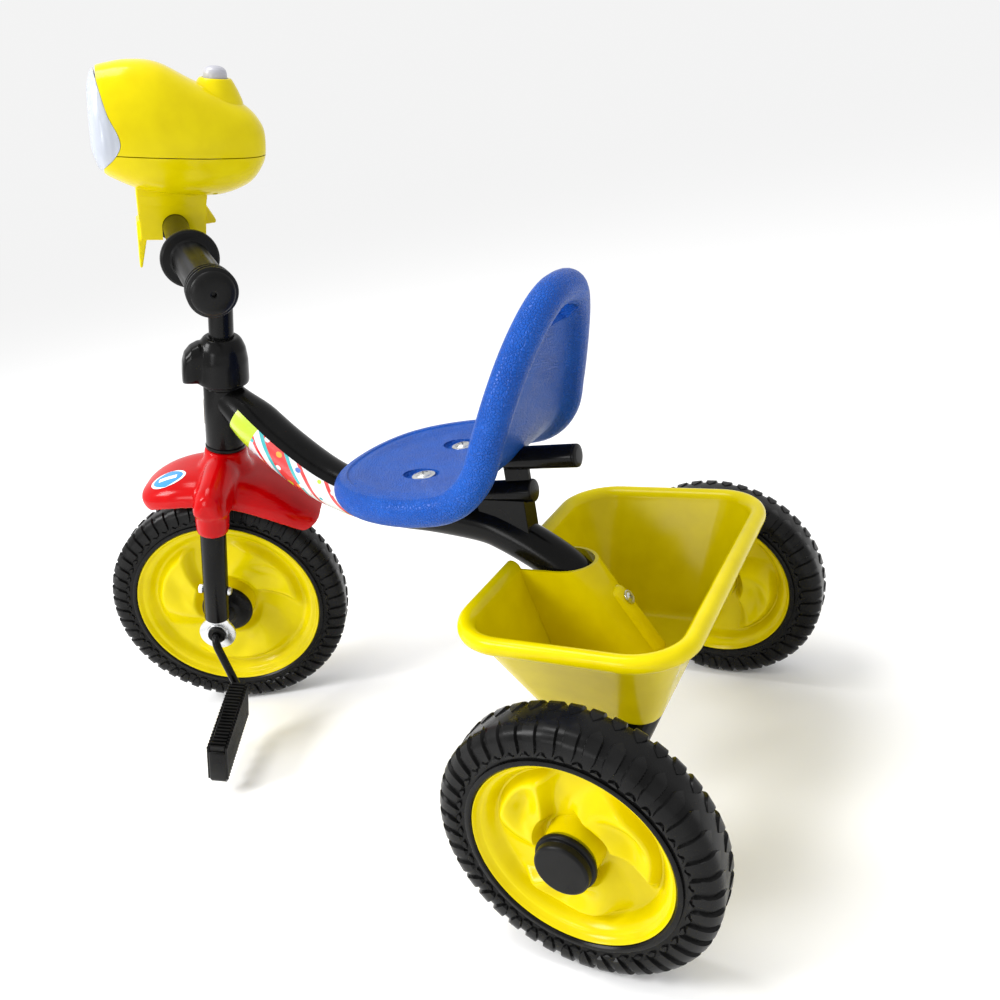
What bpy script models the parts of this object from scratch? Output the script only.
"""Children's tricycle: a bent-tube frame with a moulded seat and rear basket, a pedalled and
steered front wheel, two free rear wheels and a push-button lamp on the handlebar.

Units are metres and +Z is up. The tricycle faces -Y, and +X is the rider's left. The steering is
built straight and then turned by STEER_ANGLE, which is how the tricycle stands at rest.
"""

import math

import bmesh
import bpy
from mathutils import Matrix, Vector

# Driving dimensions
REAR_AXLE_Y = 0.2466          # rear axle behind the origin, which is the middle of the outer box
TRACK = 0.3706                # between the middles of the two rear tyres
WHEELBASE = 0.4743
REAR_RADIUS = 0.100
REAR_HALF_WIDTH = 0.0202
REAR_LIP = 0.0714             # where the rear tyre's side meets its rim
FRONT_RADIUS = 0.1278
FRONT_HALF_WIDTH = 0.0174
FRONT_LIP = 0.0984
FRONT_AXLE_Z = 0.1284         # a little over the radius, because the turned wheel leans
RAKE = math.radians(16.8)
STEER_ANGLE = math.radians(27.4)
BAR_ANGLE = math.radians(20.6)  # the bar is turned this much further, in its clamp
GAP = 0.0003                  # between faces that touch on the real tricycle
RUNNING = 0.0003              # radial clearance round a turning shaft

# Frame
HEAD_LOW, HEAD_HIGH = 0.190, 0.252      # head tube's ends, up the steering axis from the front axle
HEAD_RADIUS = 0.019
BEAM_HEAD_RADIUS, BEAM_RADIUS, BEAM_REAR_RADIUS = 0.018, 0.0225, 0.0175
BEAM_PATH = [(-0.403, 0.362), (-0.378, 0.337), (-0.343, 0.304), (-0.303, 0.275), (-0.263, 0.258),
             (-0.224, 0.250), (-0.185, 0.246), (-0.140, 0.239), (-0.118, 0.231), (-0.088, 0.214),
             (-0.065, 0.196), (-0.045, 0.168), (-0.030, 0.140), (-0.018, 0.1195), (-0.0087, 0.1116)]
RAIL_RADIUS = 0.0097
RAIL = [(-0.147, 0.2655), (-0.089, 0.270)]
SOCKET_RADIUS = 0.0095
SOCKET = [(-0.112, 0.2975), (-0.048, 0.301)]
AXLE_TUBE_RADIUS = 0.0125
AXLE_RADIUS = 0.004
AXLE_TUBE_END = 0.160

# Seat
SEAT_PATH = [(-0.264, 0.286), (-0.235, 0.2885), (-0.190, 0.2885), (-0.145, 0.289), (-0.112, 0.295),
             (-0.090, 0.314), (-0.078, 0.343), (-0.067, 0.372), (-0.055, 0.402), (-0.036, 0.445)]
SEAT_BOLT_X, SEAT_BOLT_Y = 0.0345, -0.169
SEAT_RIM = 0.0125             # half the thickness of the rolled rim
SEAT_PANEL = 0.0025           # half the thickness of the panel inside the rim

# Basket
BASKET_MIDDLE_Y = -0.022
BASKET_TOP, BASKET_FLOOR = 0.2155, 0.118
BASKET_WALL = 0.0025

# Steering assembly, in its own straight frame: x to the left, y to the rear, z up the axis
LEG_X, LEG_RADIUS = 0.060, 0.0125
LEG_LOW, LEG_HIGH = 0.018, 0.150
TUBE_RADIUS = 0.0115
BAR_CENTRE = Vector((0, -0.0333, 0.3955))
BAR_BEND = BAR_CENTRE + Vector((0.038, 0, 0))
BAR_SWEEP = math.radians(5)
BAR_ARM = Vector((math.cos(BAR_SWEEP), math.sin(BAR_SWEEP), 0))  # way from the bend to the tip
BAR_TIP = BAR_BEND + BAR_ARM * 0.130
GRIP_LENGTH = 0.0965
CRANK_THROW = Vector((0, 0.028, -0.060))
PEDAL_IN, PEDAL_OUT = 0.091, 0.184
LAMP_X = -0.045               # the lamp is clipped on beside the stem
LAMP_SEAM = 0.4535
LAMP_BASE = 0.4232            # underside of the lamp, on its saddle
BUTTON = Vector((0, 0.008, 0.5210))


def clear_scene():
    for obj in list(bpy.data.objects):
        bpy.data.objects.remove(obj, do_unlink=True)


def material(name, colour, roughness, metallic=0.0):
    made = bpy.data.materials.new(name)
    made.use_nodes = True
    made.diffuse_color = (*colour, 1)
    shader = made.node_tree.nodes["Principled BSDF"]
    shader.inputs["Base Color"].default_value = (*colour, 1)
    shader.inputs["Roughness"].default_value = roughness
    shader.inputs["Metallic"].default_value = metallic
    return made


def empty(name, parent=None, location=(0, 0, 0), rotation=(0, 0, 0)):
    made = bpy.data.objects.new(name, None)
    bpy.context.collection.objects.link(made)
    made.parent = parent
    made.location = location
    made.rotation_euler = rotation
    return made


def add(name, bm, finish, parent, location=(0, 0, 0), matrix=None):
    """Turns a bmesh into a named object with outward normals."""
    bmesh.ops.recalc_face_normals(bm, faces=bm.faces)
    if matrix is not None:
        bmesh.ops.transform(bm, matrix=matrix, verts=bm.verts)
    mesh = bpy.data.meshes.new(name)
    bm.to_mesh(mesh)
    bm.free()
    made = bpy.data.objects.new(name, mesh)
    bpy.context.collection.objects.link(made)
    made.data.materials.append(finish)
    made.parent = parent
    made.location = location
    return made


def helper(name, bm, parent, location=(0, 0, 0), matrix=None):
    """A cutter or a piece that a Boolean adds, kept out of the render."""
    made = add(name, bm, FINISH["black_plastic"], parent, location, matrix)
    made.hide_render = True
    made.display_type = "WIRE"
    return made


def combine(obj, other, operation="DIFFERENCE"):
    step = obj.modifiers.new(f"{operation.lower()} {other.name}", "BOOLEAN")
    step.operation = operation
    step.object = other
    return obj


def along(start, end):
    """Matrix that puts +Z along start to end, with its origin at start."""
    start, end = Vector(start), Vector(end)
    turn = (end - start).to_track_quat("Z", "Y").to_matrix().to_4x4()
    return Matrix.Translation(start) @ turn


def rod(start, end, radius, segments=16, end_radius=None):
    """Solid cylinder or cone between two points."""
    bm = bmesh.new()
    length = (Vector(end) - Vector(start)).length
    bmesh.ops.create_cone(bm, cap_ends=True, segments=segments, radius1=radius,
                          radius2=radius if end_radius is None else end_radius, depth=length)
    bmesh.ops.translate(bm, vec=(0, 0, length / 2), verts=bm.verts)
    bmesh.ops.transform(bm, matrix=along(start, end), verts=bm.verts)
    return bm


def block(low, high):
    bm = bmesh.new()
    low, high = Vector(low), Vector(high)
    bmesh.ops.create_cube(bm, size=1)
    bmesh.ops.scale(bm, vec=high - low, verts=bm.verts)
    bmesh.ops.translate(bm, vec=(low + high) / 2, verts=bm.verts)
    return bm


def lathe(profile, segments, axis="X"):
    """Spins a closed outline of (along the axis, radius) points once round X or Z.

    The radius is met at the middle of each flat, so that a wheel stands on a flat.
    """
    bm = bmesh.new()
    out = 1 / math.cos(math.pi / segments)
    verts = [bm.verts.new((x, 0, -r * out) if axis == "X" else (r * out, 0, x)) for x, r in profile]
    edges = [bm.edges.new((a, b)) for a, b in zip(verts, verts[1:] + verts[:1])]
    turn = Matrix.Rotation(math.pi / segments, 3, axis)
    bmesh.ops.rotate(bm, matrix=turn, verts=bm.verts)
    bmesh.ops.spin(bm, geom=verts + edges, cent=(0, 0, 0), axis=(1, 0, 0) if axis == "X" else (0, 0, 1),
                   angle=2 * math.pi, steps=segments, use_merge=True)
    bmesh.ops.remove_doubles(bm, verts=bm.verts, dist=1e-6)
    bmesh.ops.dissolve_degenerate(bm, edges=bm.edges, dist=1e-7)
    bmesh.ops.delete(bm, geom=[e for e in bm.edges if not e.link_faces], context="EDGES")
    return bm


def disc(radius, low, high, segments, axis="Z"):
    """Solid cylinder whose flats face the same ways as a ring's."""
    return lathe([(low, 0.0), (high, 0.0), (high, radius), (low, radius)], segments, axis)


def ring(outer, inner, low, high, segments=24, axis="Z"):
    return lathe([(low, inner), (high, inner), (high, outer), (low, outer)], segments, axis)


def smooth_path(points, steps=2):
    """Points on the smooth curve through a few points."""
    ends = [points[0] * 2 - points[1], *points, points[-1] * 2 - points[-2]]
    path = []
    for a, b, c, d in zip(ends, ends[1:], ends[2:], ends[3:]):
        for step in range(steps):
            t = step / steps
            path.append(0.5 * (2 * b + (c - a) * t + (2 * a - 5 * b + 4 * c - d) * t * t
                               + (3 * b - a - 3 * c + d) * t ** 3))
    return path + [points[-1]]


def filleted(points, radius, steps=4):
    """The straight runs between a few points, with each corner rounded."""
    path = [points[0]]
    for before, corner, after in zip(points, points[1:], points[2:]):
        arrive, leave = (before - corner).normalized(), (after - corner).normalized()
        half = arrive.angle(leave) / 2
        centre = corner + (arrive + leave).normalized() * radius / math.sin(half)
        first = corner + arrive * radius / math.tan(half) - centre
        turn = arrive.cross(leave).normalized()
        for step in range(steps + 1):
            bend = Matrix.Rotation(-(math.pi - 2 * half) * step / steps, 3, turn)
            path.append(centre + bend @ first)
    return path + [points[-1]]


def tube(path, radius, detail=4):
    """Mesh of a round bar along a path, from a bevelled curve with filled caps.

    The radius is one number, or a list with one for each point of the path.
    """
    radii = radius if isinstance(radius, list) else [radius] * len(path)
    curve = bpy.data.curves.new("path", "CURVE")
    curve.dimensions = "3D"
    curve.bevel_depth = radii[0]
    curve.bevel_resolution = detail
    curve.use_fill_caps = True
    spline = curve.splines.new("POLY")
    spline.points.add(len(path) - 1)
    for point, place, here in zip(spline.points, path, radii):
        point.co = (*place, 1)
        point.radius = here / radii[0]
    holder = bpy.data.objects.new("path", curve)
    bpy.context.collection.objects.link(holder)
    bm = bmesh.new()
    mesh = bpy.data.meshes.new_from_object(holder)
    bm.from_mesh(mesh)
    bmesh.ops.remove_doubles(bm, verts=bm.verts, dist=1e-7)
    bpy.data.objects.remove(holder, do_unlink=True)
    return bm


def loft(loops, closed_ends=True):
    """Skin over a list of loops with equal point counts."""
    bm = bmesh.new()
    rings = [[bm.verts.new(point) for point in loop] for loop in loops]
    for one, two in zip(rings, rings[1:]):
        for k, vert in enumerate(one):
            following = (k + 1) % len(one)
            bm.faces.new((vert, one[following], two[following], two[k]))
    if closed_ends:
        bm.faces.new(rings[0][::-1])
        bm.faces.new(rings[-1])
    return bm


def rounded_rectangle(half_x, half_y, radius, z, middle_y=0.0, corner_steps=4):
    points = []
    for quarter, (sx, sy) in enumerate(((1, 1), (-1, 1), (-1, -1), (1, -1))):
        centre = (sx * (half_x - radius), middle_y + sy * (half_y - radius))
        for step in range(corner_steps + 1):
            angle = (quarter + step / corner_steps) * math.pi / 2
            points.append((centre[0] + radius * math.cos(angle), centre[1] + radius * math.sin(angle), z))
    return points


clear_scene()
FINISH = {
    "yellow": material("yellow_plastic", (0.86, 0.70, 0.0), 0.22),
    "red": material("red_plastic", (0.72, 0.01, 0.01), 0.22),
    "blue": material("blue_plastic", (0.03, 0.10, 0.52), 0.45),
    "black_paint": material("black_paint", (0.010, 0.010, 0.012), 0.25),
    "black_plastic": material("black_plastic", (0.012, 0.012, 0.013), 0.38),
    "tyre": material("black_tyre", (0.012, 0.012, 0.012), 0.42),
    "zinc": material("zinc_plate", (0.62, 0.63, 0.64), 0.3, 1.0),
    "grey": material("grey_plastic", (0.50, 0.50, 0.54), 0.35),
    "lens": material("clear_lens", (0.80, 0.85, 0.90), 0.08),
    "chrome": material("reflector_chrome", (0.80, 0.80, 0.82), 0.08, 1.0),
    "board": material("green_board", (0.02, 0.20, 0.06), 0.45),
}

trike = empty("trike", location=(0, REAR_AXLE_Y, 0))
head_axis = empty("head_axis", trike, (0, -WHEELBASE, FRONT_AXLE_Z), (-RAKE, 0, 0))
steering = empty("steering", head_axis, rotation=(0, 0, STEER_ANGLE))
bar = empty("bar", steering, rotation=(0, 0, BAR_ANGLE))
lamp_place = empty("lamp_place", bar, (LAMP_X, 0, 0))


def side_view(points, x=0.0):
    """Frame points from (y, z) pairs, with y counted from the rear axle."""
    return [Vector((x, y, z)) for y, z in points]


def beam(grow=0.0):
    """The main beam: swelling behind the head tube, then tapering to the rear."""
    path = smooth_path(side_view(BEAM_PATH))
    radii, walked = [], 0.0
    for k, place in enumerate(path):
        walked += (place - path[k - 1]).length if k else 0.0
        swell = min(walked / 0.045, 1.0)
        taper = min(max((walked - 0.09) / 0.20, 0.0), 1.0)
        radii.append(grow + BEAM_HEAD_RADIUS + (BEAM_RADIUS - BEAM_HEAD_RADIUS) * swell
                     - (BEAM_RADIUS - BEAM_REAR_RADIUS) * taper)
    return tube(path, radii, 4)


def frame_tubes():
    head = [(HEAD_LOW, 0.0155), (HEAD_HIGH, 0.0155), (HEAD_HIGH, HEAD_RADIUS), (HEAD_LOW, HEAD_RADIUS)]
    add("head_tube", lathe(head, 20, "Z"), FINISH["black_paint"], head_axis)
    for name, face, inward in (("head_bush_lower", HEAD_LOW, 1), ("head_bush_upper", HEAD_HIGH, -1)):
        inner, sleeve, flange = TUBE_RADIUS + RUNNING, 0.0152, 0.0196
        bush = [(face - inward * 0.0034, inner), (face - inward * 0.0034, flange),
                (face - inward * GAP, flange), (face - inward * GAP, sleeve),
                (face + inward * 0.012, sleeve), (face + inward * 0.012, inner)]
        add(name, lathe(bush, 18, "Z"), FINISH["black_plastic"], head_axis)

    main = add("main_beam", beam(), FINISH["black_paint"], trike)
    notch = disc(HEAD_RADIUS + GAP, HEAD_LOW - 0.04, HEAD_HIGH + 0.04, 20)
    combine(main, helper("head_notch", notch, head_axis))
    above = rod((0, 0, HEAD_HIGH - 0.002), (0, 0, HEAD_HIGH + 0.04), 0.040, 12)
    combine(main, helper("above_head", above, head_axis))
    clearance = helper("beam_clearance", beam(GAP), trike)

    rail = side_view(RAIL)
    lower = add("seat_rail", rod(*rail, RAIL_RADIUS, 16), FINISH["black_paint"], trike)
    combine(lower, clearance)
    socket = side_view(SOCKET)
    upper = add("socket_tube", rod(*socket, SOCKET_RADIUS, 20), FINISH["black_paint"], trike)
    back = (socket[1] - socket[0]).normalized()
    hollow = rod(socket[1] - back * 0.030, socket[1] + back * 0.01, SOCKET_RADIUS - 0.0018, 20)
    combine(upper, helper("plug_seat", hollow, trike))
    mitre = along((0, -0.1097, 0.2921), (0, -0.1097 - 0.654, 0.2921 + 0.757))
    combine(upper, helper("socket_mitre", block((-0.03, -0.04, 0), (0.03, 0.04, 0.05)), trike, matrix=mitre))
    inner = SOCKET_RADIUS - 0.0024
    plug = [(0.0003, SOCKET_RADIUS), (0.0020, SOCKET_RADIUS - 0.001), (0.0020, 0.0), (-0.012, 0.0),
            (-0.012, inner), (0.0003, inner)]
    add("socket_plug", lathe(plug, 20, "Z"), FINISH["black_plastic"], trike,
        matrix=along(socket[1], socket[1] + back))

    plate = block((-0.0020, -0.112, 0.2750), (0.0020, -0.090, 0.2920))
    plate = add("socket_plate", plate, FINISH["black_paint"], trike)
    combine(plate, helper("rail_clearance", rod(*rail, RAIL_RADIUS + GAP, 16), trike))
    combine(plate, helper("socket_clearance", rod(*socket, SOCKET_RADIUS + GAP, 20), trike))

    bracket = block((-0.010, -0.138, 0.230), (0.010, -0.094, 0.264))
    bracket = add("rail_bracket", bracket, FINISH["black_paint"], trike)
    combine(bracket, clearance)
    combine(bracket, bpy.data.objects["rail_clearance"])

    bore = AXLE_RADIUS + RUNNING
    hollow = ring(AXLE_TUBE_RADIUS, bore, -AXLE_TUBE_END, AXLE_TUBE_END, 20, "X")
    add("rear_axle_tube", hollow, FINISH["black_paint"], trike, (0, 0, REAR_RADIUS))
    reach = TRACK / 2 + 0.0190
    axle = rod((-reach, 0, 0), (reach, 0, 0), AXLE_RADIUS, 12)
    add("rear_axle", axle, FINISH["zinc"], trike, (0, 0, REAR_RADIUS))


def seat_frame(distance):
    """Point and surface normal of the seat's side curve at a distance along it."""
    path = smooth_path(side_view(SEAT_PATH), 6)
    for here, there in zip(path, path[1:]):
        step = (there - here).length
        if distance <= step or there is path[-1]:
            break
        distance -= step
    forward = (there - here).normalized()
    return here + forward * distance, Vector((0, -forward.z, forward.y))


def seat_length():
    path = smooth_path(side_view(SEAT_PATH), 6)
    return sum((b - a).length for a, b in zip(path, path[1:]))


def seat_outline(count=32):
    """Outline of the flattened seat as (x, distance along the side curve) pairs, anticlockwise."""
    length = seat_length()
    middle = 0.115
    outline = []
    for step in range(count):
        angle = 2 * math.pi * step / count
        across, up = math.cos(angle), math.sin(angle)
        if up < 0:
            x = 0.103 * math.copysign(abs(across) ** 0.76, across)
            s = middle - middle * abs(up) ** 0.84
        else:
            x = 0.103 * math.copysign(abs(across) ** 0.80, across)
            s = middle + (length - middle) * abs(up) ** 1.0
            x *= 1 - 0.10 * up ** 2
        outline.append(Vector((x, s)))
    return outline


def seat():
    outline = seat_outline()
    count = len(outline)
    inward = []
    for k in range(count):
        side = outline[(k + 1) % count] - outline[k - 1]
        inward.append(Vector((-side.y, side.x)).normalized())

    centre = Vector((0, 0.150))

    def loop(inset, rise, shrink=1.0):
        points = []
        for place, turn in zip(outline, inward):
            flat = centre + (place + turn * inset - centre) * shrink
            on, normal = seat_frame(max(flat.y, 0.0))
            points.append(on + Vector((flat.x, 0, 0)) + normal * rise)
        return points

    rim, panel = SEAT_RIM, SEAT_PANEL
    loops = [loop(0.030, panel, 0.40), loop(0.030, panel, 0.75), loop(0.030, panel)]
    loops += [loop(rim * (1 + 0.62 * math.cos(a)), rim * math.sin(a)) for a in (0.5, 1.1, 1.9)]
    loops += [loop(rim * (1 - 0.95 * math.cos(a)), rim * math.sin(a)) for a in (0.75, 0, -0.75)]
    loops += [loop(rim * 1.0, -rim), loop(rim * 1.7, -rim * 0.8), loop(0.030, -panel),
              loop(0.030, -panel, 0.75), loop(0.030, -panel, 0.40)]
    bm = loft(loops, closed_ends=False)
    on, normal = seat_frame(centre.y)
    for edge_ring, rise in ((bm.verts[:count], panel), (bm.verts[-count:], -panel)):
        hub = bm.verts.new(on + normal * rise)
        for k, vert in enumerate(edge_ring):
            bm.faces.new((vert, edge_ring[(k + 1) % count], hub))
    shell = add("seat", bm, FINISH["blue"], trike)
    for side in (-1, 1):
        hole = rod((side * SEAT_BOLT_X, SEAT_BOLT_Y, 0.26), (side * SEAT_BOLT_X, SEAT_BOLT_Y, 0.32), 0.0034, 12)
        combine(shell, helper(f"seat_hole_{side}", hole, trike))
    on, normal = seat_frame(seat_length() - 0.037)
    slot = block((-0.031, -0.009, -0.03), (0.031, 0.009, 0.03))
    bmesh.ops.bevel(slot, geom=[e for e in slot.edges if abs(e.verts[0].co.z - e.verts[1].co.z) > 0.01],
                    offset=0.0088, segments=4, affect="EDGES")
    turn = along(on, on + normal)
    combine(shell, helper("seat_hand_slot", slot, trike, matrix=turn))
    combine(shell, helper("beam_recess", beam(0.0008), trike))
    return shell


def seat_fixings():
    low, high, wall = 0.2670, 0.2857, 0.0025
    channel = block((-0.055, SEAT_BOLT_Y - 0.020, low), (0.055, SEAT_BOLT_Y + 0.020, high))
    channel = add("seat_bracket", channel, FINISH["black_paint"], trike)
    hollow = block((-0.06, SEAT_BOLT_Y - 0.020 + wall, low + wall),
                   (0.06, SEAT_BOLT_Y + 0.020 - wall, high - wall))
    combine(channel, helper("bracket_hollow", hollow, trike))
    for name, side in (("left", 1), ("right", -1)):
        x = side * SEAT_BOLT_X
        combine(channel, helper(f"bracket_hole_{name}", rod((x, SEAT_BOLT_Y, 0.26), (x, SEAT_BOLT_Y, 0.30),
                                                            0.0034, 12), trike))
        top = 0.2913
        bolt = [(0.250, 0.0), (0.250, 0.003), (top, 0.003), (top, 0.0095), (top + 0.0012, 0.0095),
                (top + 0.0012, 0.0058), (top + 0.0040, 0.0040), (top + 0.0046, 0.0)]
        add(f"seat_bolt_{name}", lathe(bolt, 12, "Z"), FINISH["zinc"], trike, (x, SEAT_BOLT_Y, 0))
        nut = ring(0.0052, 0.003 + GAP, low - 0.0052, low - GAP, 6)
        add(f"seat_nut_{name}", nut, FINISH["zinc"], trike, (x, SEAT_BOLT_Y, 0))


def basket():
    wall, top, floor = BASKET_WALL, BASKET_TOP, BASKET_FLOOR

    def level(half_x, half_y, z, radius, shift=0.0):
        return rounded_rectangle(half_x, half_y, radius, z, BASKET_MIDDLE_Y + shift)

    outer = [level(0.074, 0.044, floor, 0.012, -0.006), level(0.081, 0.051, floor + 0.006, 0.018, -0.006),
             level(0.131, 0.080, top - 0.012, 0.034)]
    lip = [level(0.139, 0.088, top - 0.013, 0.040), level(0.143, 0.092, top - 0.008, 0.044),
           level(0.142, 0.091, top - 0.002, 0.043), level(0.138, 0.087, top, 0.040),
           level(0.133, 0.082, top - 0.002, 0.036), level(0.1285, 0.0775, top - 0.008, 0.032)]
    inner = [level(0.081, 0.0505, floor + 0.010, 0.018, -0.006), level(0.0735, 0.0435, floor + wall, 0.012, -0.006)]
    tub = add("basket", loft(outer + lip + inner), FINISH["yellow"], trike)
    # The tunnel over the beam, open below, so that the basket drops on from above.
    high, low = Vector((0, -0.067, 0.204)), Vector((0, -0.011, 0.112))
    down = (low - high).normalized()
    outward = Vector((0, down.z, -down.y))

    def channel(radius, depth):
        loops = []
        for base in (high - down * 0.06, low + down * 0.03):
            arch = [base - outward * radius * math.sin(a) + Vector((radius * math.cos(a), 0, 0))
                    for a in (math.pi * k / 8 for k in range(9))]
            loops.append(arch + [base + outward * depth + Vector((-radius, 0, 0)),
                                 base + outward * depth + Vector((radius, 0, 0))])
        return loft(loops)

    clear = BEAM_REAR_RADIUS + 0.0020
    tunnel = helper("tunnel_outer", channel(clear + wall, 0.120), trike)
    pad = tube([(low + high) / 2 + down * along - outward * clear for along in (-0.022, 0.022)], 0.0065, 3)
    combine(tunnel, helper("tunnel_strap", pad, trike), "UNION")
    hull = [level(0.0735, 0.0435, floor + 0.0008, 0.012, -0.006), level(0.0797, 0.0497, floor + 0.006, 0.017, -0.006),
            level(0.130, 0.079, top - 0.007, 0.033)]
    combine(tunnel, helper("tub_hull", loft(hull), trike), "INTERSECT")
    combine(tub, tunnel, "UNION")
    combine(tub, helper("tunnel_inner", channel(clear, 0.130), trike))
    return tub


def rear_wheels():
    bore = AXLE_RADIUS + RUNNING
    half = REAR_HALF_WIDTH
    tyre = [(-half, REAR_LIP + 0.0015), (-half, 0.088), (-half + 0.004, 0.0965), (-0.010, REAR_RADIUS),
            (0.010, REAR_RADIUS), (half - 0.004, 0.0965), (half, 0.088), (half, REAR_LIP + 0.0015),
            (half - 0.0015, REAR_LIP), (-half + 0.0015, REAR_LIP)]
    out = REAR_LIP - GAP
    rim = [(-0.0220, bore), (-0.0220, 0.016), (-0.005, 0.018), (-0.005, 0.060), (-0.0185, 0.0665),
           (-0.0185, out), (0.0185, out), (0.0185, 0.0665), (0.005, 0.060), (0.005, 0.026),
           (0.0185, 0.022), (0.0185, bore)]
    cap = [(0.0196, 0.0), (0.0196, 0.0205), (0.0215, 0.0215), (0.0245, 0.0205), (0.0250, 0.0180),
           (0.0300, 0.0180), (0.0315, 0.0165), (0.0315, 0.0)]
    for side, sign in (("left", 1), ("right", -1)):
        hub = empty(f"rear_hub_{side}", trike, (sign * TRACK / 2, 0, REAR_RADIUS),
                    (0, 0, 0 if sign > 0 else math.pi))
        add(f"rear_tyre_{side}", lathe(tyre, 28), FINISH["tyre"], hub)
        add(f"rear_rim_{side}", lathe(rim, 28), FINISH["yellow"], hub)
        add(f"rear_hub_cap_{side}", lathe(cap, 16), FINISH["black_plastic"], hub)


def front_wheel():
    wheel = empty("front_axle", steering)
    half = FRONT_HALF_WIDTH
    tyre = [(-half, FRONT_LIP + 0.0015), (-half, 0.117), (-half + 0.004, 0.1245), (-0.009, FRONT_RADIUS),
            (0.009, FRONT_RADIUS), (half - 0.004, 0.1245), (half, 0.117), (half, FRONT_LIP + 0.0015),
            (half - 0.0015, FRONT_LIP), (-half + 0.0015, FRONT_LIP)]
    add("front_tyre", lathe(tyre, 32), FINISH["tyre"], wheel)
    bore, out = 0.004 + GAP, FRONT_LIP - GAP
    rim = [(-0.0180, bore), (-0.0180, 0.024), (-0.005, 0.030), (-0.005, 0.084), (-0.0160, 0.0930),
           (-0.0160, out), (0.0160, out), (0.0160, 0.0930), (0.005, 0.084), (0.005, 0.030),
           (0.0180, 0.024), (0.0180, bore)]
    add("front_rim", lathe(rim, 32), FINISH["yellow"], wheel)
    disc = [(0.0183, bore), (0.0183, 0.0270), (0.0205, 0.0275), (0.0235, 0.0250), (0.0252, 0.0140),
            (0.0300, 0.0095), (0.0300, bore)]
    for side, sign in (("left", 1), ("right", -1)):
        add(f"front_hub_disc_{side}", lathe([(sign * x, r) for x, r in disc], 16), FINISH["black_plastic"], wheel)
    corners = [Vector((-0.1805, 0, 0)) - CRANK_THROW, Vector((-0.083, 0, 0)) - CRANK_THROW,
               Vector((-0.0745, 0, 0)), Vector((0.0745, 0, 0)), Vector((0.083, 0, 0)) + CRANK_THROW,
               Vector((0.1805, 0, 0)) + CRANK_THROW]
    add("crank", tube(filleted(corners, 0.008, 3), 0.004, 2), FINISH["black_paint"], wheel)
    for side, sign in (("left", 1), ("right", -1)):
        pivot = empty(f"pedal_axis_{side}", wheel, sign * CRANK_THROW)
        slab = block((PEDAL_IN, -0.0100, -0.0250), (PEDAL_OUT, 0.0100, 0.0250))
        bmesh.ops.bevel(slab, geom=slab.edges[:], offset=0.003, segments=1, affect="EDGES")
        if sign < 0:
            bmesh.ops.rotate(slab, matrix=Matrix.Rotation(math.pi, 3, "Z"), verts=slab.verts)
        slab = add(f"pedal_{side}", slab, FINISH["black_plastic"], pivot)
        hole = rod((sign * (PEDAL_IN - 0.01), 0, 0), (sign * 0.1812, 0, 0), 0.004 + RUNNING, 12)
        combine(slab, helper(f"pedal_bore_{side}", hole, pivot))


def crown(grow, low, high):
    half_x, half_y = LEG_X + LEG_RADIUS + grow, LEG_RADIUS + grow
    return loft([rounded_rectangle(half_x, half_y, 0.010 + grow, z) for z in (low, high)])


def fork():
    paint, zinc = FINISH["black_paint"], FINISH["zinc"]
    add("steerer", ring(TUBE_RADIUS, 0.0095, LEG_HIGH + 0.0126, HEAD_HIGH + 0.010, 18), paint, steering)
    add("fork_crown", crown(0.0, LEG_HIGH + GAP, LEG_HIGH + 0.0123), paint, steering)
    for side, sign in (("left", 1), ("right", -1)):
        x = sign * LEG_X
        leg = ring(LEG_RADIUS, LEG_RADIUS - 0.0016, LEG_LOW, LEG_HIGH, 16)
        leg = add(f"fork_leg_{side}", leg, paint, steering, (x, 0, 0))
        cross = helper(f"leg_hole_{side}", rod((0, -0.02, 0.054), (0, 0.02, 0.054), 0.0028, 12), steering, (x, 0, 0))
        combine(leg, cross)
        eye = ring(0.016, 0.0078, -0.0015, 0.0015, 18, "X")
        eye = add(f"dropout_{side}", eye, zinc, steering, (x, 0, 0))
        web = helper(f"web_{side}", block((-0.0014, -0.0088, 0.010), (0.0014, 0.0088, 0.0176)), steering, (x, 0, 0))
        combine(eye, web, "UNION")
        tongue = block((-0.0065, -0.0060, 0.0166), (0.0065, 0.0060, 0.068))
        combine(eye, helper(f"tongue_{side}", tongue, steering, (x, 0, 0)), "UNION")
        combine(eye, cross)
        bush = [(-0.0052, 0.0043), (-0.0052, 0.0100), (-0.0019, 0.0100), (-0.0019, 0.0075), (0.0019, 0.0075),
                (0.0019, 0.0090), (0.0058, 0.0090), (0.0058, 0.0043)]
        add(f"crank_bush_{side}", lathe([(sign * a, r) for a, r in bush], 16), FINISH["black_plastic"],
            steering, (x, 0, 0))
        screw = [(-0.0175, 0.0), (-0.0175, 0.0025), (0.0129, 0.0025), (0.0129, 0.0048), (0.0150, 0.0046),
                 (0.0165, 0.0030), (0.0168, 0.0)]
        add(f"dropout_screw_{side}", lathe(screw, 12, "Z"), zinc, steering, (x, 0, 0.054),
            matrix=Matrix.Rotation(-math.pi / 2, 4, "X"))
        nut = ring(0.0042, 0.0025 + GAP, -0.0166, -0.0129, 6)
        add(f"dropout_nut_{side}", nut, zinc, steering, (x, 0, 0.054), matrix=Matrix.Rotation(-math.pi / 2, 4, "X"))


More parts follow.
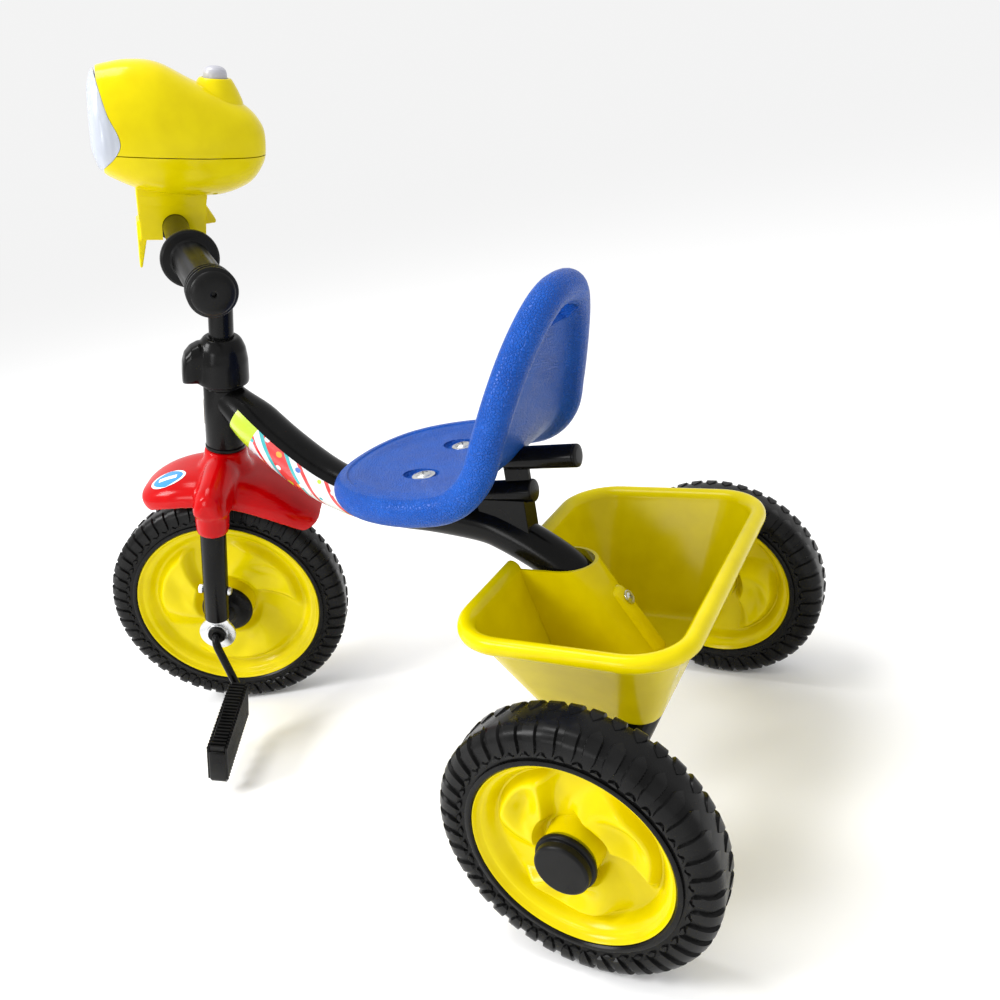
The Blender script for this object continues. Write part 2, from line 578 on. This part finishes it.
def fender():
    def sector(radius, half_width, from_angle, to_angle, low=0.0, steps=9):
        """Solid slice of a cylinder about the wheel's axle, between two angles from straight up."""
        angles = [from_angle + (to_angle - from_angle) * k / steps for k in range(steps + 1)]
        loops = []
        for x in (-half_width, -half_width + 0.008, half_width - 0.008, half_width):
            r = radius - (0.007 if abs(x) == half_width else 0)
            loops.append([Vector((x, math.sin(a) * r, math.cos(a) * r)) for a in angles]
                         + [Vector((x, math.sin(a) * low, math.cos(a) * low)) for a in angles[::-1]])
        return loft(loops)

    rear, front = math.radians(37), math.radians(-30)
    outer = add("fender", sector(0.1665, 0.047, front, rear, 0.137), FINISH["red"], steering)
    inner = helper("fender_inside", sector(0.1640, 0.0445, front - 0.2, rear + 0.2, 0.10), steering)
    for side, sign in (("left", 1), ("right", -1)):
        sleeve = rod((sign * LEG_X, 0, 0.118), (sign * LEG_X, 0, 0.1655), LEG_RADIUS + 0.0028, 16)
        combine(outer, helper(f"sleeve_{side}", sleeve, steering), "UNION")
    bridge = block((-LEG_X, -LEG_RADIUS - 0.0028, 0.140), (LEG_X, LEG_RADIUS + 0.0028, 0.1655))
    combine(outer, helper("fender_bridge", bridge, steering), "UNION")
    collar = rod((0, 0, 0.160), (0, 0, HEAD_LOW - 0.0037), 0.024, 24, 0.0205)
    combine(outer, helper("fender_collar", collar, steering), "UNION")
    combine(outer, inner)
    combine(outer, helper("crown_space", block((-LEG_X, -LEG_RADIUS - GAP, 0.10),
                                               (LEG_X, LEG_RADIUS + GAP, LEG_HIGH + 0.0128)), steering))
    for side, sign in (("left", 1), ("right", -1)):
        space = disc(LEG_RADIUS + GAP, 0.09, LEG_HIGH + 0.0128, 16)
        combine(outer, helper(f"sleeve_space_{side}", space, steering, (sign * LEG_X, 0, 0)))
    combine(outer, helper("crown_fit", crown(GAP, LEG_HIGH - 0.001, LEG_HIGH + 0.0126), steering))
    combine(outer, helper("steerer_space", disc(TUBE_RADIUS + GAP, 0.13, 0.20, 18), steering))


def bar_path():
    mirror = Vector((-1, 1, 1))
    return filleted([BAR_TIP * mirror, BAR_BEND * mirror, BAR_BEND, BAR_TIP], 0.10, 3)


def handlebar():
    paint, plastic = FINISH["black_paint"], FINISH["black_plastic"]
    add("handlebar", tube(bar_path(), TUBE_RADIUS, 4), paint, bar)
    stem_path = filleted([Vector((0, 0, HEAD_HIGH + 0.0103)), Vector((0, 0, 0.345)), BAR_CENTRE], 0.035, 4)
    stem = add("stem", tube(stem_path, TUBE_RADIUS, 4), paint, bar)
    across = rod(BAR_CENTRE - Vector((0.03, 0, 0)), BAR_CENTRE + Vector((0.03, 0, 0)), TUBE_RADIUS + GAP, 24)
    combine(stem, helper("bar_notch", across, bar))

    long, bore = GRIP_LENGTH, TUBE_RADIUS + GAP
    grip = [(0.0, bore), (0.0, 0.0225), (0.0022, 0.0240), (0.0045, 0.0225), (0.0055, 0.0155),
            (long - 0.019, 0.0150), (long - 0.017, 0.0188), (long - 0.003, 0.0188), (long + 0.0040, 0.0140),
            (long + 0.0040, 0.0020), (long + GAP, 0.0020), (long + GAP, bore)]
    for side, mirror in (("left", Vector((1, 1, 1))), ("right", Vector((-1, 1, 1)))):
        start, end = (BAR_TIP - BAR_ARM * long) * mirror, BAR_TIP * mirror
        add(f"grip_{side}", lathe(grip, 14, "Z"), plastic, bar, matrix=along(start, end))

    base, top = HEAD_HIGH + 0.0037, 0.302
    shell = [(base, 0.0225), (0.288, 0.0225), (0.298, 0.0125), (0.298, TUBE_RADIUS + GAP),
             (top, TUBE_RADIUS + GAP), (top, 0.0165), (0.298, 0.0215), (0.291, 0.0250), (base, 0.0255)]
    cover = add("clamp_cover", lathe(shell, 20, "Z"), plastic, bar)

    def nose(grow, low, high):
        turn = [math.pi * k / 8 for k in range(9)]
        plan = [(-grow, 0.0), (grow, 0.0)]
        plan += [(grow * math.cos(a), -0.0230 - grow * 0.95 * math.sin(a)) for a in turn]
        loops = [[Vector((x, y, low)) for x, y in plan], [Vector((x, y, high - grow * 0.6)) for x, y in plan],
                 [Vector((x * 0.8, -0.012 + (y + 0.012) * 0.72 if y < -0.012 else y, high)) for x, y in plan]]
        return loft(loops)

    combine(cover, helper("nose_outer", nose(0.0140, base, 0.296), bar), "UNION")
    combine(cover, helper("nose_inner", nose(0.0115, base - 0.01, 0.291), bar))
    combine(cover, helper("cover_bore", disc(0.0229, base - 0.01, 0.2875, 20), bar))
    combine(cover, helper("stem_space", disc(TUBE_RADIUS + 0.0006, 0.28, 0.31, 20), bar))
    clamp = add("stem_clamp", ring(0.0180, TUBE_RADIUS + GAP, base + 0.003, 0.284, 16), paint, bar)
    for sign in (-1, 1):
        ear = block((sign * 0.0055 - 0.0025, -0.0290, base + 0.006), (sign * 0.0055 + 0.0025, -0.0150, 0.280))
        combine(clamp, helper(f"clamp_ear_{sign}", ear, bar), "UNION")
    combine(clamp, helper("clamp_slit", block((-0.003, -0.04, 0.25), (0.003, -0.005, 0.30)), bar))
    bolt_place = Vector((0, -0.0225, 0.269))
    hole = rod(bolt_place - Vector((0.02, 0, 0)), bolt_place + Vector((0.02, 0, 0)), 0.0028, 12)
    combine(clamp, helper("clamp_hole", hole, bar))
    bolt = [(-0.0098, 0.0), (-0.0098, 0.0025), (0.0083, 0.0025), (0.0083, 0.0040), (0.0100, 0.0036), (0.0100, 0.0)]
    add("clamp_bolt", lathe(bolt, 12), FINISH["zinc"], bar, bolt_place)


def lamp_section(forward, inset=0.0):
    """Outline of the lamp across its length, from (forward, top, bottom, half width) stations."""
    stations = [(-0.0500, 0.488, 0.472, 0.006), (-0.0465, 0.4975, 0.4575, 0.020), (-0.0340, 0.507, 0.4390, 0.033),
                (-0.0120, 0.514, 0.4270, 0.041), (0.0120, 0.5205, LAMP_BASE, 0.045), (0.0400, 0.5315, 0.4240, 0.045),
                (0.0640, 0.5325, 0.4285, 0.043), (0.0840, 0.5285, 0.4370, 0.039), (0.0900, 0.5265, 0.4410, 0.037)]
    for low, high in zip(stations, stations[1:]):
        if forward <= high[0]:
            break
    share = (forward - low[0]) / (high[0] - low[0])
    top, bottom, half = (a + (b - a) * share for a, b in zip(low[1:], high[1:]))
    return top - inset, bottom + inset, half - inset


def lamp_loop(forward, inset=0.0, count=18):
    top, bottom, half = lamp_section(forward, inset)
    middle = LAMP_SEAM + 0.012
    points = []
    for k in range(count):
        angle = 2 * math.pi * k / count
        height = (top - middle) if math.sin(angle) >= 0 else (middle - bottom)
        rise = math.copysign(abs(math.sin(angle)) ** 0.9, math.sin(angle))
        points.append(Vector((half * math.cos(angle), -forward, middle + height * rise)))
    return points


def lamp():
    yellow = FINISH["yellow"]
    places = [-0.0500, -0.0465, -0.0340, -0.0120, 0.0120, 0.0400, 0.0640, 0.0840, 0.0900]
    wall = 0.0022
    outer = loft([lamp_loop(x) for x in places])
    inner = [lamp_loop(x, wall) for x in places[1:]]
    for point in inner[0]:
        point.y = 0.0443
    for point in inner[-1]:
        point.y = -0.10
    upper = add("lamp_upper_shell", outer.copy(), yellow, lamp_place)
    lower = add("lamp_lower_shell", outer, yellow, lamp_place)
    boss = rod(BUTTON - Vector((0, 0, 0.030)), BUTTON, 0.0200, 20, 0.0140)
    combine(upper, helper("button_boss", boss, lamp_place), "UNION")
    hollow = helper("lamp_hollow", loft(inner), lamp_place)
    for shell in (upper, lower):
        combine(shell, hollow)
    below = block((-0.1, -0.15, 0.40), (0.1, 0.10, LAMP_SEAM + 0.00015))
    above = block((-0.1, -0.15, LAMP_SEAM - 0.00015), (0.1, 0.10, 0.60))
    combine(upper, helper("seam_below", below, lamp_place))
    combine(lower, helper("seam_above", above, lamp_place))
    bore = rod(BUTTON - Vector((0, 0, 0.05)), BUTTON + Vector((0, 0, 0.02)), 0.0110, 20)
    combine(upper, helper("button_bore", bore, lamp_place))

    button = [(-0.010, 0.0), (-0.010, 0.0104), (0.006, 0.0104), (0.0088, 0.0085), (0.0100, 0.0045), (0.0102, 0.0)]
    pivot = empty("button_slide", lamp_place, BUTTON)
    add("lamp_button", lathe(button, 20, "Z"), FINISH["grey"], pivot)

    front = lamp_loop(0.0900)
    middle = sum(front, Vector()) / len(front)
    loops = []
    for reach, scale in ((0.0003, 1.0), (0.0055, 0.93), (0.0095, 0.72), (0.0115, 0.40)):
        loops.append([middle + (p - middle) * scale - Vector((0, reach, 0)) for p in front])
    back = [[middle + (p - middle) * scale - Vector((0, reach, 0)) for p in front]
            for reach, scale in ((0.0099, 0.38), (0.0079, 0.69), (0.0040, 0.88), (0.0003, 0.94))]
    skin = loops[::-1] + back[::-1]
    bm = bmesh.new()
    rings = [[bm.verts.new(p) for p in loop] for loop in skin]
    count = len(front)
    for one, two in zip(rings, rings[1:]):
        for k in range(count):
            bm.faces.new((one[k], one[(k + 1) % count], two[(k + 1) % count], two[k]))
    tips = (bm.verts.new(middle - Vector((0, 0.0120, 0))), bm.verts.new(middle - Vector((0, 0.0103, 0))))
    for tip, edge in zip(tips, (rings[0], rings[-1])):
        for k in range(count):
            bm.faces.new((edge[k], edge[(k + 1) % count], tip))
    add("lamp_lens", bm, FINISH["lens"], lamp_place)

    # The light-emitting diode is moulded into the reflector's back.
    cup = [(-0.0120, 0.0), (-0.0130, 0.0030), (-0.0200, 0.0040), (-0.0200, 0.0075), (-0.008, 0.0200),
           (0.006, 0.0290), (0.006, 0.0305), (-0.009, 0.0215), (-0.0215, 0.0085), (-0.0215, 0.0)]
    add("lamp_reflector", lathe(cup, 20, "Z"), FINISH["chrome"], lamp_place, (0, -0.078, 0.484),
        matrix=along((0, 0, 0), (0, -1, 0)))
    board = block((-0.020, -0.048, 0.4650), (0.020, 0.024, 0.4666))
    add("lamp_circuit_board", board, FINISH["board"], lamp_place)
    add("lamp_speaker", rod((0, -0.028, 0.4680), (0, -0.028, 0.4800), 0.0150, 20), FINISH["black_plastic"], lamp_place)
    add("lamp_battery_pack", block((-0.016, -0.042, 0.4340), (0.016, 0.010, 0.4560)), FINISH["grey"], lamp_place)


def lamp_saddle():
    high, low = LAMP_BASE - GAP, 0.3835
    saddle = block((-0.0140, -0.0650, low), (0.0140, -0.0060, high))
    bmesh.ops.bevel(saddle, geom=[e for e in saddle.edges if abs(e.verts[0].co.y - e.verts[1].co.y) < 1e-5
                                  and abs(e.verts[0].co.x - e.verts[1].co.x) < 1e-5],
                    offset=0.003, segments=2, affect="EDGES")
    saddle = add("lamp_saddle", saddle, FINISH["yellow"], lamp_place)
    tab = helper("latch_tab", block((-0.0100, -0.0668, 0.357), (0.0100, -0.0640, high - 0.004)), lamp_place)
    combine(saddle, tab, "UNION")
    reach = TUBE_RADIUS + 0.0006
    combine(saddle, helper("saddle_bore", tube(bar_path(), reach, 4), bar))
    mouth = block((-0.05, BAR_CENTRE.y - reach, 0.35), (0.05, BAR_CENTRE.y + reach + 0.002, BAR_CENTRE.z))
    combine(saddle, helper("saddle_mouth", mouth, lamp_place))


frame_tubes()
seat()
seat_fixings()
basket()
rear_wheels()
front_wheel()
fork()
fender()
handlebar()
lamp()
lamp_saddle()
